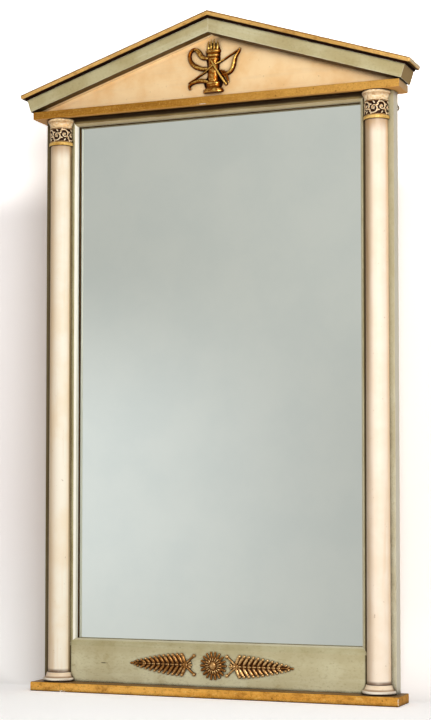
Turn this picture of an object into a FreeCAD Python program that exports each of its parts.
"""Neoclassical wall mirror: a framed glass between half columns, on a ledge and under a pediment.

Millimetres, +X to the viewer's right, +Y towards the wall, +Z up.
The origin is the middle of the ledge's underside.
"""
import FreeCAD, Part
import math
import os
from types import SimpleNamespace

import Sketcher

doc = FreeCAD.newDocument("wall_mirror")
sheet = doc.addObject("Spreadsheet::Sheet", "sizes")

# Driving sizes: name, value, what it measures
SIZES = (
    ("frame_width", "641", "over the outer sides of the stiles"),
    ("frame_height", "994", "from the ledge up to the architrave"),
    ("frame_depth", "24", "thickness of the stiles and the rail"),
    ("wall_gap", "6", "from the backs of the stiles to the wall"),
    ("stile_width", "45.7", "face of a stile beside the sight strip"),
    ("rail_height", "62.5", "face of the bottom rail under the sight strip"),
    ("ledge_overhang", "12", "ledge board beyond the stiles"),
    ("ledge_depth", "62.5", "ledge board from front to wall"),
    ("ledge_thickness", "16", "ledge board"),
    ("ledge_round", "1.5", "rounding of the ledge's edges"),
    ("architrave_overhang", "16", "architrave board beyond the stiles"),
    ("architrave_thickness", "13.5", "architrave board"),
    ("architrave_front", "24.2", "how far the architrave stands before the frame's face"),
    ("architrave_round", "1", "rounding of the architrave's edges"),
    ("sight_width", "12.5", "sight strip across its face"),
    ("sight_depth", "12", "sight strip from face to slip"),
    ("sight_bevel", "3.3", "bevel on the strip's inner edge"),
    ("slip_width", "9", "dark slip behind the sight strip"),
    ("slip_thickness", "4", "dark slip from strip to glass"),
    ("glass_thickness", "4", "mirror plate"),
    ("glass_clearance", "1.2", "gap round the edge of the glass"),
    ("panel_thickness", "3", "plywood back panel"),
    ("panel_overlap", "11", "panel on the backs of the stiles"),
    ("panel_foot", "24", "panel on the back of the rail"),
    ("panel_margin", "2", "gap between the panel and the architrave"),
    ("column_inset", "29.1", "column axis from the stile's outer side"),
    ("shaft_foot_radius", "20.3", "column shaft where it meets its base"),
    ("shaft_head_radius", "19.4", "column shaft where it meets its astragal"),
    ("core_radius", "15", "round tenon that carries the astragal and the band"),
    ("base_height", "17", "column base"),
    ("base_rim_radius", "28.5", "rim of the column base"),
    ("base_rim_height", "5.5", "upright part of that rim"),
    ("base_neck_radius", "21.6", "top of the column base"),
    ("base_foot_radius", "26.5", "recessed foot under the rim"),
    ("base_foot_height", "1.6", "recessed foot under the rim"),
    ("capital_height", "17", "flared capital"),
    ("capital_rim_radius", "24.6", "rim of the capital"),
    ("capital_rim_height", "6", "upright part of that rim"),
    ("capital_neck_radius", "21.2", "bottom of the capital"),
    ("band_height", "25", "foliate sleeve under the capital"),
    ("band_radius", "21.4", "foliate sleeve"),
    ("astragal_height", "6.3", "ring under the foliate sleeve"),
    ("astragal_radius", "22.4", "ring under the foliate sleeve"),
    ("turning_round", "1.8", "rounding of the turned rims"),
    ("pediment_overhang", "19.5", "feet of the raking boards beyond the stiles"),
    ("pediment_rise", "110.5", "architrave to the underside of the raking boards' apex"),
    ("raking_thickness", "22.8", "raking boards, square to their slope"),
    ("raking_front", "27", "how far the raking boards stand before the frame's face"),
    ("cove_thickness", "3.9", "bed strip under the crown"),
    ("cove_front", "29.5", "how far the bed strip stands before the frame's face"),
    ("cove_overhang", "1.5", "bed strip beyond the raking boards' ends"),
    ("crown_thickness", "7.8", "crown strip"),
    ("crown_front", "34", "how far the crown stands before the frame's face"),
    ("crown_overhang", "8.5", "crown beyond the raking boards' ends"),
    ("crown_nose", "2.8", "rounding of the crown's nose"),
    ("tympanum_thickness", "12", "triangular panel in the pediment"),
    ("block_depth", "15", "blocks glued behind the tympanum"),
    ("ridge_block_width", "90", "block under the apex"),
    ("glue_block_length", "70", "blocks on the architrave"),
    ("glue_block_height", "14", "blocks on the architrave"),
    ("trophy_height", "91", "quiver mount"),
    ("trophy_width", "95", "quiver mount with its bow"),
    ("trophy_relief", "10", "quiver mount from its back to its front"),
    ("trophy_lift", "9.5", "quiver mount above the architrave"),
    ("leaf_length", "102", "palm leaf mount"),
    ("leaf_height", "38.5", "palm leaf mount"),
    ("leaf_relief", "3.4", "palm leaf mount"),
    ("leaf_place", "48.7", "foot of a palm leaf from the middle of the pair"),
    ("leaf_shift", "5.2", "how far left of the rosette the pair of leaves is nailed"),
    ("mount_lift", "36", "middle of the leaves and the rosette above the ledge"),
    ("rosette_radius", "24.6", "sun rosette to the tips of its rays"),
    ("rosette_relief", "6", "sun rosette"),
    ("stud_radius", "1", "studs that hold the mounts"),
    ("stud_sink", "1.2", "studs in the mounts"),
    ("stud_length", "8", "studs in the wood"),
    ("dowel_radius", "4", "dowels between rail and stiles"),
    ("dowel_length", "40", "dowels between rail and stiles"),
    ("screw_radius", "2", "frame screws"),
    ("screw_head_radius", "4", "frame screws"),
    ("screw_head_height", "2.4", "frame screws"),
    ("screw_length", "42", "frame screws"),
    ("tack_radius", "1.4", "small screws of the panel and the hangers"),
    ("tack_head_radius", "2.7", "small screws"),
    ("tack_head_height", "1.4", "small screws"),
    ("tack_length", "13", "small screws"),
    ("hanger_inset", "10", "middle of a hanger from the stile's outer side"),
    ("hanger_drop", "28", "hinge of a hanger below the architrave"),
    ("strap_width", "12", "hanger strap"),
    ("strap_length", "34", "hanger strap below its hinge"),
    ("strap_thickness", "1.2", "hanger strap"),
    ("hinge_clearance", "0.08", "running fit of the ring in the strap's loop"),
    ("ring_wire", "3", "wire of the hanger ring"),
    ("ring_width", "28", "corner to corner of the ring's base"),
    ("ring_height", "23", "ring from its base to its point"),
    ("ring_corner", "3.5", "bend of the ring's corners"),
)
for row, (alias, number, note) in enumerate(SIZES, 1):
    sheet.set("A%d" % row, note)
    sheet.set("B%d" % row, number)
    sheet.setAlias("B%d" % row, alias)
doc.recompute()


class Size:
    """A length: its value now, and the expression that ties it to the sheet."""

    def __init__(self, value, text):
        self.value = value
        self.text = text

    def __add__(self, other):
        other = as_size(other)
        return Size(self.value + other.value, "(%s + %s)" % (self.text, other.text))

    def __sub__(self, other):
        other = as_size(other)
        return Size(self.value - other.value, "(%s - %s)" % (self.text, other.text))

    def __mul__(self, other):
        other = as_size(other)
        return Size(self.value * other.value, "(%s * %s)" % (self.text, other.text))

    def __truediv__(self, other):
        other = as_size(other)
        return Size(self.value / other.value, "(%s / %s)" % (self.text, other.text))

    def __neg__(self):
        return self * -1

    __rmul__ = __mul__


def as_size(number):
    """A plain number as a Size."""
    return number if isinstance(number, Size) else Size(number, "(%r)" % number)


def slant(run, rise):
    """The sloping side of a right-angled triangle."""
    return Size(math.hypot(run.value, rise.value), "sqrt(%s ^ 2 + %s ^ 2)" % (run.text, rise.text))


mm = SimpleNamespace(**{name: Size(float(sheet.get(name)), "sizes." + name) for name, number, note in SIZES})
ZERO = Size(0.0, "0")
SIDES = (("left", -1), ("right", 1))

# Planes from front to back, heights, and places across
wall = mm.ledge_depth / 2
back = wall - mm.wall_gap
face = back - mm.frame_depth
slip_front = face + mm.sight_depth
glass_front = slip_front + mm.slip_thickness
glass_back = glass_front + mm.glass_thickness
panel_back = back + mm.panel_thickness
ledge_top = mm.ledge_thickness
rail_top = ledge_top + mm.rail_height
architrave_under = ledge_top + mm.frame_height
architrave_top = architrave_under + mm.architrave_thickness
apex = architrave_top + mm.pediment_rise
stile_outer = mm.frame_width / 2
stile_inner = stile_outer - mm.stile_width
stile_middle = stile_outer - mm.stile_width / 2
sight_edge = stile_inner - mm.sight_width
column_axis = stile_outer - mm.column_inset
ledge_length = mm.frame_width + mm.ledge_overhang * 2
architrave_length = mm.frame_width + mm.architrave_overhang * 2
pediment_run = stile_outer + mm.pediment_overhang
slope_length = slant(pediment_run, mm.pediment_rise)
slope_sine = mm.pediment_rise / slope_length
slope_cosine = pediment_run / slope_length
slope_fall = mm.pediment_rise / pediment_run

pieces = []


def piece(thing, label):
    """Name a finished sub-part and put it on the list to be written."""
    thing.Label = label
    pieces.append(thing)
    return thing


def put(thing, place):
    """Tie a thing's position to three sizes."""
    for axis, size in zip("xyz", place):
        thing.setExpression("Placement.Base." + axis, size.text)


def origin_feature(body, role):
    return next(item for item in body.Origin.OriginFeatures if item.Role == role)


def hold(sketch, kind, line, size):
    """Tie the start of a line to the sketch's origin."""
    spot = sketch.addConstraint(Sketcher.Constraint(kind, -1, 1, line, 1, size.value))
    sketch.setExpression("Constraints[%d]" % spot, size.text)


def outline(body, plane, corners):
    """A closed outline of straight runs whose corners are pairs of sizes."""
    sketch = body.newObject("Sketcher::SketchObject", body.Name + "_outline")
    sketch.AttachmentSupport = [(origin_feature(body, plane), "")]
    sketch.MapMode = "FlatFace"
    spots = [FreeCAD.Vector(across.value, up.value, 0) for across, up in corners]
    count = len(spots)
    for index in range(count):
        sketch.addGeometry(Part.LineSegment(spots[index], spots[(index + 1) % count]), False)
    for index in range(count):
        sketch.addConstraint(Sketcher.Constraint("Coincident", index, 2, (index + 1) % count, 1))
    for index, (across, up) in enumerate(corners):
        hold(sketch, "DistanceX", index, across)
        hold(sketch, "DistanceY", index, up)
    return sketch


def board(name, corners, front, depth):
    """A board whose front view is an outline, from its front plane back."""
    body = doc.addObject("PartDesign::Body", name)
    pad = body.newObject("PartDesign::Pad", name + "_pad")
    pad.Profile = outline(body, "XZ_Plane", corners)
    pad.setExpression("Length", depth.text)
    pad.Reversed = True
    put(body, (ZERO, front, ZERO))
    return body


def turned(name, profile, place):
    """The front half of a turned piece, from pairs of radius and height."""
    body = doc.addObject("PartDesign::Body", name)
    turn = body.newObject("PartDesign::Revolution", name + "_turn")
    turn.Profile = outline(body, "XZ_Plane", profile)
    turn.ReferenceAxis = (origin_feature(body, "Z_Axis"), [""])
    turn.Angle = 180
    turn.Reversed = True
    put(body, place)
    return body


def dress(body, kind, amount, size, wanted):
    """Round or bevel the edges of a body that are wanted."""
    doc.recompute()
    base = body.Tip
    names = ["Edge%d" % number for number, edge in enumerate(base.Shape.Edges, 1) if wanted(edge)]
    feature = body.newObject("PartDesign::" + kind, body.Name + "_" + kind)
    feature.Base = (base, names)
    feature.setExpression(amount, size.text)
    return body


def box(name, low, high):
    """A box between two corners."""
    block = doc.addObject("Part::Box", name)
    for amount, start, end in zip(("Length", "Width", "Height"), low, high):
        block.setExpression(amount, (end - start).text)
    put(block, low)
    return block


def round_bar(name, radius, length, place, way):
    """A cylinder that starts at a place and runs one way."""
    bar = doc.addObject("Part::Cylinder", name)
    bar.setExpression("Radius", radius.text)
    bar.setExpression("Height", length.text)
    bar.Placement.Rotation = FreeCAD.Rotation(FreeCAD.Vector(0, 0, 1), FreeCAD.Vector(*way))
    put(bar, place)
    return bar


def cone(name, wide, narrow, height, place, way):
    """A cone that starts wide at a place and narrows one way."""
    body = doc.addObject("Part::Cone", name)
    body.setExpression("Radius1", wide.text)
    body.setExpression("Radius2", narrow.text)
    body.setExpression("Height", height.text)
    body.Placement.Rotation = FreeCAD.Rotation(FreeCAD.Vector(0, 0, 1), FreeCAD.Vector(*way))
    put(body, place)
    return body


def fused(name, first, second):
    joined = doc.addObject("Part::Fuse", name)
    joined.Base = first
    joined.Tool = second
    return joined


def cut(name, base, tool):
    """What is left of a piece once a tool, such as its own screws, is taken out."""
    result = doc.addObject("Part::Cut", name)
    result.Base = base
    result.Tool = tool
    return result


def group(name, members):
    compound = doc.addObject("Part::Compound", name)
    compound.Links = members
    return compound


def flush_screw(name, place, way):
    """A countersunk frame screw with its head level with the surface."""
    shank = round_bar(name + "_shank", mm.screw_radius, mm.screw_length, place, way)
    head = cone(name + "_head", mm.screw_head_radius, mm.screw_radius, mm.screw_head_height, place, way)
    return fused(name, shank, head)


TACK_CROWN_SHARE = 0.65


def tack(name, place):
    """A small screw driven forward into the frame, with its head proud of the surface behind."""
    crown = mm.tack_head_radius * TACK_CROWN_SHARE
    shank = round_bar(name + "_shank", mm.tack_radius, mm.tack_length, place, (0, -1, 0))
    head = cone(name + "_head", mm.tack_head_radius, crown, mm.tack_head_height, place, (0, 1, 0))
    return fused(name, shank, head)


def rectangle(left, right, low, high):
    return [(left, low), (right, low), (right, high), (left, high)]


# Boards of the frame, with the screws and dowels that join them
SCREW_SPREAD_SHARE = 0.25
DOWEL_SPREAD_SHARE = 0.25
RAIL_SCREW_SHARE = 0.45
SCREW_DEPTH_SHARE = 0.3
DOWEL_DEPTH_SHARE = 0.66


def frame_screws():
    """Screws up through the ledge and down through the architrave."""
    upward, downward = [], []
    spread = mm.stile_width * SCREW_SPREAD_SHARE
    depth = face + mm.frame_depth * SCREW_DEPTH_SHARE
    for side, sign in SIDES:
        for name, offset in (("inner", -spread), ("outer", spread)):
            across = (stile_middle + offset) * sign
            low = (across, depth, ZERO)
            high = (across, depth, architrave_top)
            upward.append(flush_screw("ledge_screw_%s_%s" % (side, name), low, (0, 0, 1)))
            downward.append(flush_screw("architrave_screw_%s_%s" % (side, name), high, (0, 0, -1)))
        across = stile_inner * RAIL_SCREW_SHARE * sign
        upward.append(flush_screw("rail_screw_" + side, (across, depth, ZERO), (0, 0, 1)))
    return group("ledge_screw_group", upward), group("architrave_screw_group", downward)


def frame_dowels():
    """Dowels across the joints of rail and stiles."""
    bars = []
    middle = ledge_top + mm.rail_height / 2
    spread = mm.rail_height * DOWEL_SPREAD_SHARE
    depth = face + mm.frame_depth * DOWEL_DEPTH_SHARE
    for side, sign in SIDES:
        start = stile_inner * sign - mm.dowel_length / 2
        for name, offset in (("lower", -spread), ("upper", spread)):
            place = (start, depth, middle + offset)
            bars.append(round_bar("dowel_%s_%s" % (side, name), mm.dowel_radius, mm.dowel_length, place, (1, 0, 0)))
    return group("dowel_group", bars)


def away_from_wall(depth):
    """Choose the edges that don't lie in a board's back."""
    return lambda edge: edge.BoundBox.YMin < depth.value / 2


def edged_board(name, length, low, high, front, round_size):
    """A plain board with its front and end edges rounded."""
    depth = wall - front
    body = board(name, rectangle(-length / 2, length / 2, low, high), front, depth)
    return dress(body, "Fillet", "Radius", round_size, away_from_wall(depth))


def mirrored(corners, sign):
    return [(across * sign, up) for across, up in corners]


def sight_strip(name, corners, inner_edge):
    """A mitred strip round the glass, bevelled along its inner edge."""
    body = board(name, corners, face, mm.sight_depth)
    return dress(body, "Chamfer", "Size", mm.sight_bevel, inner_edge)


def front_edge_at(axis, place):
    """Choose the front edge that lies along a line across or up."""
    reach = mm.sight_width.value / 4

    def wanted(edge):
        if edge.BoundBox.YMax > mm.sight_depth.value / 2:
            return False
        low, high = getattr(edge.BoundBox, axis + "Min"), getattr(edge.BoundBox, axis + "Max")
        return abs(low - place.value) < reach and abs(high - place.value) < reach
    return wanted


def sight_strips():
    low, high = rail_top + mm.sight_width, architrave_under - mm.sight_width
    for side, sign in SIDES:
        corners = [(sight_edge, low), (stile_inner, rail_top), (stile_inner, architrave_under), (sight_edge, high)]
        name = "sight_moulding_" + side
        piece(sight_strip(name, mirrored(corners, sign), front_edge_at("X", sight_edge * sign)), name)
    for name, outer, inner in (("bottom", rail_top, low), ("top", architrave_under, high)):
        corners = [(-stile_inner, outer), (stile_inner, outer), (sight_edge, inner), (-sight_edge, inner)]
        name = "sight_moulding_" + name
        piece(sight_strip(name, corners, front_edge_at("Z", inner)), name)


def slips():
    """Dark slips that hold the glass off the sight strips."""
    inner = stile_inner - mm.slip_width
    low, high = rail_top + mm.slip_width, architrave_under - mm.slip_width
    for side, sign in SIDES:
        near, far = (inner, stile_inner) if sign > 0 else (-stile_inner, -inner)
        name = "glass_slip_" + side
        piece(box(name, (near, slip_front, rail_top), (far, glass_front, architrave_under)), name)
    for name, start, end in (("bottom", rail_top, low), ("top", high, architrave_under)):
        name = "glass_slip_" + name
        piece(box(name, (-inner, slip_front, start), (inner, glass_front, end)), name)


PANEL_SCREW_SHARES = (0.04, 0.27, 0.5, 0.73, 0.96)
PANEL_FOOT_SHARES = (-0.6, 0, 0.6)


def glass_and_back():
    """The mirror plate, the sheet behind it, the back panel and the panel's screws."""
    reach = stile_inner - mm.glass_clearance
    low, high = rail_top + mm.glass_clearance, architrave_under - mm.glass_clearance
    piece(box("mirror_glass", (-reach, glass_front, low), (reach, glass_back, high)), "mirror_glass")
    piece(box("backing_sheet", (-reach, glass_back, low), (reach, back, high)), "backing_sheet")
    edge = stile_inner + mm.panel_overlap
    foot, head = rail_top - mm.panel_foot, architrave_under - mm.panel_margin
    panel = box("panel_blank", (-edge, back, foot), (edge, panel_back, head))
    tacks = []
    for side, sign in SIDES:
        across = (stile_inner + mm.panel_overlap / 2) * sign
        for index, share in enumerate(PANEL_SCREW_SHARES):
            height = foot + (head - foot) * share
            tacks.append(tack("panel_screw_%s_%d" % (side, index), (across, panel_back, height)))
    for index, share in enumerate(PANEL_FOOT_SHARES):
        tacks.append(tack("panel_foot_screw_%d" % index, (edge * share, panel_back, foot + mm.panel_foot / 2)))
    screws = group("panel_screw_group", tacks)
    piece(cut("back_panel", panel, screws), "back_panel")
    return screws


TROPHY_STUD_SHARES = (0.3, 0.5)
LEAF_STUD_SHARES = (0.2, 0.6)


def studs():
    """Studs behind the bronze mounts, from the mount into the wood."""
    middle = ledge_top + mm.mount_lift
    quiver = architrave_top + mm.trophy_lift
    spots = [("rosette", ZERO, middle)]
    for share in TROPHY_STUD_SHARES:
        spots.append(("trophy_%d" % len(spots), ZERO, quiver + mm.trophy_height * share))
    for side, sign in SIDES:
        for share in LEAF_STUD_SHARES:
            across = (mm.leaf_place + mm.leaf_length * share) * sign - mm.leaf_shift
            spots.append(("leaf_%d" % len(spots), across, middle))
    start = face - mm.stud_sink
    length = mm.stud_sink + mm.stud_length
    bars = [round_bar("stud_" + name, mm.stud_radius, length, (x, start, z), (0, 1, 0)) for name, x, z in spots]
    return group("stud_group", bars)


def frame_and_ledge(stud_group, panel_screws, hanger_screws):
    ledge_screws, architrave_screws = frame_screws()
    dowels = frame_dowels()
    ledge = edged_board("ledge_blank", ledge_length, ZERO, ledge_top, -mm.ledge_depth / 2, mm.ledge_round)
    piece(cut("base_ledge", ledge, ledge_screws), "base_ledge")
    lintel = edged_board("architrave_blank", architrave_length, architrave_under, architrave_top,
                         face - mm.architrave_front, mm.architrave_round)
    piece(cut("architrave", lintel, architrave_screws), "architrave")
    joints = group("joint_group", [ledge_screws, architrave_screws, dowels, panel_screws, hanger_screws, stud_group])
    for side, sign in SIDES:
        near, far = (stile_inner, stile_outer) if sign > 0 else (-stile_outer, -stile_inner)
        blank = box(side + "_stile_blank", (near, face, ledge_top), (far, back, architrave_under))
        piece(cut(side + "_stile", blank, joints), side + "_stile")
    rail = box("rail_blank", (-stile_inner, face, ledge_top), (stile_inner, back, rail_top))
    piece(cut("bottom_rail", rail, joints), "bottom_rail")
    piece(ledge_screws, "ledge_screws")
    piece(architrave_screws, "architrave_screws")
    piece(dowels, "frame_dowels")


# Half-round columns on the faces of the stiles
def on_rim(radius):
    """Choose the edges that run round a turned rim."""
    def wanted(edge):
        return hasattr(edge.Curve, "Radius") and abs(edge.Curve.Radius - radius.value) < radius.value / 50
    return wanted


def columns():
    base_top = ledge_top + mm.base_height
    capital_under = architrave_under - mm.capital_height
    band_under = capital_under - mm.band_height
    astragal_under = band_under - mm.astragal_height
    for side, sign in SIDES:
        def at(height):
            return (column_axis * sign, face, height)
        shaft, core = astragal_under - base_top, capital_under - base_top
        profile = [(ZERO, ZERO), (mm.shaft_foot_radius, ZERO), (mm.shaft_head_radius, shaft),
                   (mm.core_radius, shaft), (mm.core_radius, core), (ZERO, core)]
        name = side + "_column_shaft"
        piece(turned(name, profile, at(base_top)), name)

        foot, rim_top = mm.base_foot_height, mm.base_foot_height + mm.base_rim_height
        profile = [(ZERO, ZERO), (mm.base_foot_radius, ZERO), (mm.base_foot_radius, foot),
                   (mm.base_rim_radius, foot), (mm.base_rim_radius, rim_top),
                   (mm.base_neck_radius, mm.base_height), (ZERO, mm.base_height)]
        name = side + "_column_base"
        base = turned(name, profile, at(ledge_top))
        piece(dress(base, "Fillet", "Radius", mm.turning_round, on_rim(mm.base_rim_radius)), name)

        flare = mm.capital_height - mm.capital_rim_height
        profile = [(ZERO, ZERO), (mm.capital_neck_radius, ZERO), (mm.capital_rim_radius, flare),
                   (mm.capital_rim_radius, mm.capital_height), (ZERO, mm.capital_height)]
        name = side + "_column_capital"
        capital = turned(name, profile, at(capital_under))
        piece(dress(capital, "Fillet", "Radius", mm.turning_round, on_rim(mm.capital_rim_radius)), name)

        name = side + "_column_band"
        piece(turned(name, rectangle(mm.core_radius, mm.band_radius, ZERO, mm.band_height), at(band_under)), name)
        name = side + "_column_astragal"
        profile = rectangle(mm.core_radius, mm.astragal_radius, ZERO, mm.astragal_height)
        ring = turned(name, profile, at(astragal_under))
        piece(dress(ring, "Fillet", "Radius", mm.turning_round, on_rim(mm.astragal_radius)), name)


# Pediment
GLUE_BLOCK_PLACE_SHARE = 0.593


def slope_strip(name, sign, low, high, overhang, front):
    """A strip along one slope, between two distances from the raking boards' underside."""
    def apex_at(distance):
        return (ZERO, apex + distance / slope_cosine)

    def end_at(distance):
        across = pediment_run + distance * slope_sine + overhang * slope_cosine
        return (across, architrave_top + distance * slope_cosine - overhang * slope_sine)
    corners = [apex_at(low), end_at(low), end_at(high), apex_at(high)]
    return board(name, mirrored(corners, sign), front, wall - front)


def crown_edges(sign):
    """Choose the front and end edges of a crown strip, not those of its mitre."""
    half_depth = (wall - face + mm.crown_front).value / 2
    mitre = pediment_run.value / 50

    def wanted(edge):
        return edge.BoundBox.YMin < half_depth and edge.CenterOfMass.x * sign > mitre
    return wanted


def pediment(stud_group):
    shoulder = apex - stile_outer * slope_fall
    corners = [(-stile_outer, architrave_top), (stile_outer, architrave_top),
               (stile_outer, shoulder), (ZERO, apex), (-stile_outer, shoulder)]
    blank = board("tympanum_blank", corners, face, mm.tympanum_thickness)
    piece(cut("tympanum", blank, stud_group), "tympanum")
    cove_top = mm.raking_thickness + mm.cove_thickness
    crown_top = cove_top + mm.crown_thickness
    for side, sign in SIDES:
        name = side + "_raking_board"
        piece(slope_strip(name, sign, ZERO, mm.raking_thickness, ZERO, face - mm.raking_front), name)
        name = side + "_cove"
        strip = slope_strip(name, sign, mm.raking_thickness, cove_top, mm.cove_overhang, face - mm.cove_front)
        piece(strip, name)
        name = side + "_crown"
        strip = slope_strip(name, sign, cove_top, crown_top, mm.crown_overhang, face - mm.crown_front)
        piece(dress(strip, "Fillet", "Radius", mm.crown_nose, crown_edges(sign)), name)

    behind = face + mm.tympanum_thickness
    half = mm.ridge_block_width / 2
    under = apex - half * slope_fall
    piece(board("ridge_block", [(-half, under), (half, under), (ZERO, apex)], behind, mm.block_depth), "ridge_block")
    for side, sign in SIDES:
        low = stile_outer * GLUE_BLOCK_PLACE_SHARE * sign - mm.glue_block_length / 2
        name = side + "_glue_block"
        high = (low + mm.glue_block_length, behind + mm.block_depth, architrave_top + mm.glue_block_height)
        piece(box(name, (low, behind, architrave_top), high), name)


# Bronze mounts, flat at the back and seated on the painted wood
BOW_SHARES = (
    (0.51, 0.78), (0.42, 0.63), (0.39, 0.51), (0.3, 0.36), (0.08, 0.26),
    (-0.1, 0.225), (-0.27, 0.255), (-0.42, 0.21), (-0.46, 0.15),
)
STRING_SHARES = ((0.49, 0.78), (-0.44, 0.22))
RIBBON_SHARES = (
    (-0.06, 0.66), (-0.2, 0.7), (-0.31, 0.86), (-0.4, 0.86), (-0.46, 0.72),
    (-0.36, 0.54), (-0.25, 0.49), (-0.05, 0.47),
)
ARROW_SHARES = ((0.0, 0.6), (0.26, 0.15))
SHORT_ARROW_SHARES = ((0.04, 0.5), (0.29, 0.17))
ARROWHEAD_SHARES = (-0.07, 0.01, 0.09)
QUIVER_BODY_SHARES = (0.1, 0.23, 0.62)
QUIVER_STEPS_SHARES = (
    (0.185, 0.0, 0.08), (0.16, 0.08, 0.16), (0.13, 0.16, 0.23), QUIVER_BODY_SHARES,
    (0.125, 0.62, 0.69), (0.14, 0.69, 0.74), (0.165, 0.74, 0.8),
)
ARROWHEAD_SPAN_SHARES = (0.8, 0.88, 1.05)
ARROWHEAD_RADIUS_SHARE = 0.036
LIMB_RADIUS_SHARE = 0.022
STRING_RADIUS_SHARE = 0.012


def smooth(points):
    """A smooth wire through some points."""
    curve = Part.BSplineCurve()
    curve.interpolate(points)
    return Part.Wire([curve.toShape()])


def rod(path, radius):
    """A round bar along a wire."""
    start = path.Edges[0]
    first = start.FirstParameter
    ring = Part.makeCircle(radius, start.valueAt(first), start.tangentAt(first))
    return path.makePipeShell([Part.Wire([ring])], True, False)


def seated(solids, reach):
    """Join the members of a mount and cut them flat at the back, where the wood is."""
    joined = solids[0].multiFuse(solids[1:])
    front = Part.makeBox(2 * reach, reach, 2 * reach, FreeCAD.Vector(-reach, -reach, -reach))
    return joined.common(front)


def mount(name, shape, place, studs_behind):
    """A mount at its place, with sockets for its studs."""
    blank = doc.addObject("Part::Feature", name + "_blank")
    blank.Shape = shape
    put(blank, place)
    return piece(cut(name, blank, studs_behind), name)


def trophy(stud_group):
    """A quiver with arrows, a bow and a ribbon."""
    wide, tall, deep = mm.trophy_width.value, mm.trophy_height.value, mm.trophy_relief.value
    up = FreeCAD.Vector(0, 0, 1)

    def spot(share, lift):
        return FreeCAD.Vector(share[0] * wide, -lift, share[1] * tall)
    solids = []
    flat = deep / (QUIVER_STEPS_SHARES[0][0] * wide)
    for radius, low, high in QUIVER_STEPS_SHARES:
        drum = Part.makeCylinder(radius * wide, (high - low) * tall, FreeCAD.Vector(0, 0, low * tall), up)
        squash = FreeCAD.Matrix()
        squash.scale(1, flat, 1)
        solids.append(drum.transformGeometry(squash))
    shank, neck, tip = [share * tall for share in ARROWHEAD_SPAN_SHARES]
    thick = ARROWHEAD_RADIUS_SHARE * wide
    for share in ARROWHEAD_SHARES:
        foot = FreeCAD.Vector(share * wide, -thick, shank)
        solids.append(Part.makeCone(thick / 2, thick, neck - shank, foot, up))
        solids.append(Part.makeCone(thick, 0, tip - neck, FreeCAD.Vector(foot.x, foot.y, neck), up))
    limb, cord = LIMB_RADIUS_SHARE * wide, STRING_RADIUS_SHARE * wide
    for shares in (BOW_SHARES, RIBBON_SHARES):
        solids.append(rod(smooth([spot(share, limb / 2) for share in shares]), limb))
    front = QUIVER_BODY_SHARES[0] * wide * flat
    straight = ((STRING_SHARES, cord / 2, cord), (ARROW_SHARES, front, limb * 2 / 3),
                (SHORT_ARROW_SHARES, limb, limb * 2 / 3))
    for shares, lift, thick in straight:
        start, end = [spot(share, lift) for share in shares]
        solids.append(Part.makeCylinder(thick, start.distanceToPoint(end), start, end - start))
    place = (ZERO, face, architrave_top + mm.trophy_lift)
    mount("trophy_mount", seated(solids, wide + tall), place, stud_group)


LEAFLET_PAIRS = 10
LEAFLET_START_SHARE = 0.06
LEAFLET_END_SHARE = 0.9
LEAFLET_SWEEP_SHARE = 0.09
LEAFLET_TAPER_POWER = 2.2
LEAF_SPAN_SHARE = 0.44
LEAF_BALL_SHARE = 0.06
LEAF_BUD_SHARE = 0.12
LEAF_BUD_PLACE_SHARE = -0.08
TENDRIL_SHARES = (-0.165, 0.46)


def palm_leaf(side, sign, stud_group):
    """A palm leaf: a midrib, curved pairs of leaflets with a bead at each tip, a bud and two tendrils."""
    length, tall, deep = mm.leaf_length.value, mm.leaf_height.value, mm.leaf_relief.value
    bead = LEAF_BALL_SHARE * tall
    stem = deep / 2

    def spot(along, up):
        return FreeCAD.Vector(along * length * sign, -stem / 2, up * tall)

    def bar(start, end, thick, thin):
        return Part.makeCone(thick, thin, start.distanceToPoint(end), start, end - start)
    tip = spot(1 - bead / length, 0)
    solids = [bar(spot(LEAF_BUD_PLACE_SHARE, 0), tip, stem, stem / 2), Part.makeSphere(bead, tip)]
    solids.append(Part.makeSphere(LEAF_BUD_SHARE * tall, spot(LEAF_BUD_PLACE_SHARE, 0)))
    step = (LEAFLET_END_SHARE - LEAFLET_START_SHARE) / (LEAFLET_PAIRS - 1)
    for index in range(LEAFLET_PAIRS):
        along = LEAFLET_START_SHARE + step * index
        up = LEAF_SPAN_SHARE * (1 - along ** LEAFLET_TAPER_POWER)
        root = max(along - LEAFLET_SWEEP_SHARE, 0)
        for half in (-1, 1):
            end = spot(along, up * half)
            solids.append(bar(spot(root, 0), end, stem / 2, stem * 2 / 3))
            solids.append(Part.makeSphere(bead, end))
    for half in (-1, 1):
        end = spot(TENDRIL_SHARES[0], TENDRIL_SHARES[1] * half)
        solids.append(bar(spot(0, 0), end, stem / 2, stem * 2 / 3))
        solids.append(Part.makeSphere(bead, end))
    place = (mm.leaf_place * sign - mm.leaf_shift, face, ledge_top + mm.mount_lift)
    mount(side + "_palm_leaf", seated(solids, length * 2), place, stud_group)


RAY_COUNT = 18
RAY_LAYERS_SHARES = ((0.3, 1.0, 0.09, 0.2), (0.2, 0.8, 0.1, 0.4))
FACE_SHARE = 0.3
DISC_SHARE = 0.5


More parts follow.
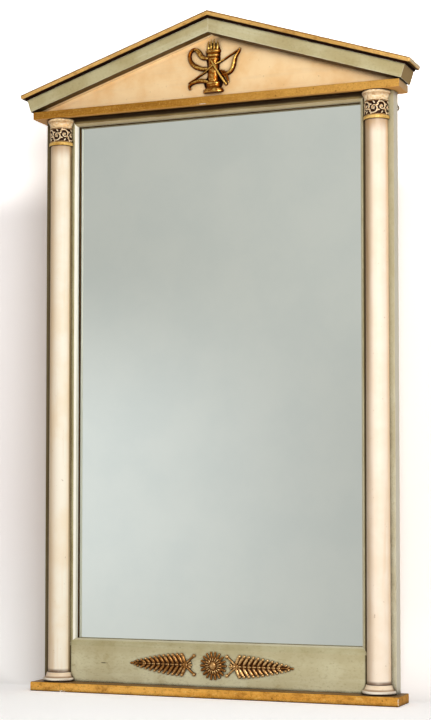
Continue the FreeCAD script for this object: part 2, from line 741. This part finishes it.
def rosette(stud_group):
    """A sun: a disc, two layers of rays and a domed middle."""
    reach, deep = mm.rosette_radius.value, mm.rosette_relief.value
    toward = FreeCAD.Vector(0, -1, 0)
    solids = [Part.makeCylinder(DISC_SHARE * reach, deep / 3, FreeCAD.Vector(), toward)]
    dome = Part.makeSphere(FACE_SHARE * reach, FreeCAD.Vector())
    squash = FreeCAD.Matrix()
    squash.scale(1, deep / (FACE_SHARE * reach), 1)
    solids.append(dome.transformGeometry(squash))
    for layer, (inner, outer, thick, lift) in enumerate(RAY_LAYERS_SHARES):
        for index in range(RAY_COUNT):
            turn = 2 * math.pi * (index + layer / 2) / RAY_COUNT
            way = FreeCAD.Vector(math.cos(turn), 0, math.sin(turn))
            foot = way * (inner * reach) + toward * (lift * deep)
            solids.append(Part.makeCone(thick * reach, thick * reach / 2, (outer - inner) * reach, foot, way))
    place = (ZERO, face, ledge_top + mm.mount_lift)
    mount("sun_rosette", seated(solids, reach * 2), place, stud_group)


# Hangers on the backs of the stiles
loop_bore = mm.ring_wire / 2 + mm.hinge_clearance
loop_radius = loop_bore + mm.strap_thickness
hinge_depth = back + loop_radius
hinge_height = architrave_under - mm.hanger_drop
hanger_place = stile_outer - mm.hanger_inset
STRAP_SCREW_SHARES = (0.42, 0.8)


def hanger_screw_group():
    tacks = []
    for side, sign in SIDES:
        for index, share in enumerate(STRAP_SCREW_SHARES):
            height = hinge_height - mm.strap_length * share
            place = (hanger_place * sign, back + mm.strap_thickness, height)
            tacks.append(tack("hanger_screw_%s_%d" % (side, index), place))
    return group("hanger_screw_group", tacks)


def rounded_triangle(width, height, corner):
    """A closed wire round a triangle that stands on its base, with rounded corners."""
    points = [FreeCAD.Vector(-width / 2, 0, 0), FreeCAD.Vector(width / 2, 0, 0), FreeCAD.Vector(0, 0, height)]
    edges = []
    bends = []
    for index, point in enumerate(points):
        before = (points[index - 1] - point).normalize()
        after = (points[(index + 1) % 3] - point).normalize()
        half = before.getAngle(after) / 2
        inward = (before + after).normalize()
        centre = point + inward * (corner / math.sin(half))
        run = corner / math.tan(half)
        bends.append((point + before * run, centre - inward * corner, point + after * run))
    for index, (start, middle, end) in enumerate(bends):
        edges.append(Part.Arc(start, middle, end).toShape())
        edges.append(Part.LineSegment(end, bends[(index + 1) % 3][0]).toShape())
    return Part.Wire(edges)


def hangers(screws):
    for side, sign in SIDES:
        start = hanger_place * sign - mm.strap_width / 2
        foot = (start, back, hinge_height - mm.strap_length)
        head = (start + mm.strap_width, back + mm.strap_thickness, hinge_height)
        plate = box(side + "_strap_plate", foot, head)
        axis = (start, hinge_depth, hinge_height)
        loop = round_bar(side + "_strap_loop", loop_radius, mm.strap_width, axis, (1, 0, 0))
        bore = round_bar(side + "_strap_bore", loop_bore, mm.strap_width, axis, (1, 0, 0))
        blank = fused(side + "_strap_blank", plate, loop)
        tools = group(side + "_strap_tools", [bore, screws])
        piece(cut(side + "_hanger_strap", blank, tools), side + "_hanger_strap")
        ring = doc.addObject("Part::Feature", side + "_hanger_ring")
        path = rounded_triangle(mm.ring_width.value, mm.ring_height.value, mm.ring_corner.value)
        ring.Shape = rod(path, mm.ring_wire.value / 2)
        put(ring, (hanger_place * sign, hinge_depth, hinge_height))
        piece(ring, side + "_hanger_ring")


def write_parts():
    """Check every object, then write each sub-part to its own file."""
    doc.recompute()
    for thing in doc.Objects:
        if {"Invalid", "Error"} & set(thing.State):
            raise RuntimeError("%s did not build: %s" % (thing.Label, thing.State))
    for thing in pieces:
        if thing.Shape.isNull() or not thing.Shape.isValid():
            raise RuntimeError("%s has no valid shape" % thing.Label)
    os.makedirs("parts", exist_ok=True)
    for thing in pieces:
        thing.Shape.exportStep(os.path.join("parts", thing.Label + ".step"))


stud_group = studs()
panel_screws = glass_and_back()
hanger_screws = hanger_screw_group()
frame_and_ledge(stud_group, panel_screws, hanger_screws)
sight_strips()
slips()
columns()
pediment(stud_group)
trophy(stud_group)
for leaf_side, leaf_sign in SIDES:
    palm_leaf(leaf_side, leaf_sign, stud_group)
rosette(stud_group)
hangers(hanger_screws)
piece(stud_group, "mount_studs")
piece(panel_screws, "back_panel_screws")
piece(hanger_screws, "hanger_screws")
write_parts()
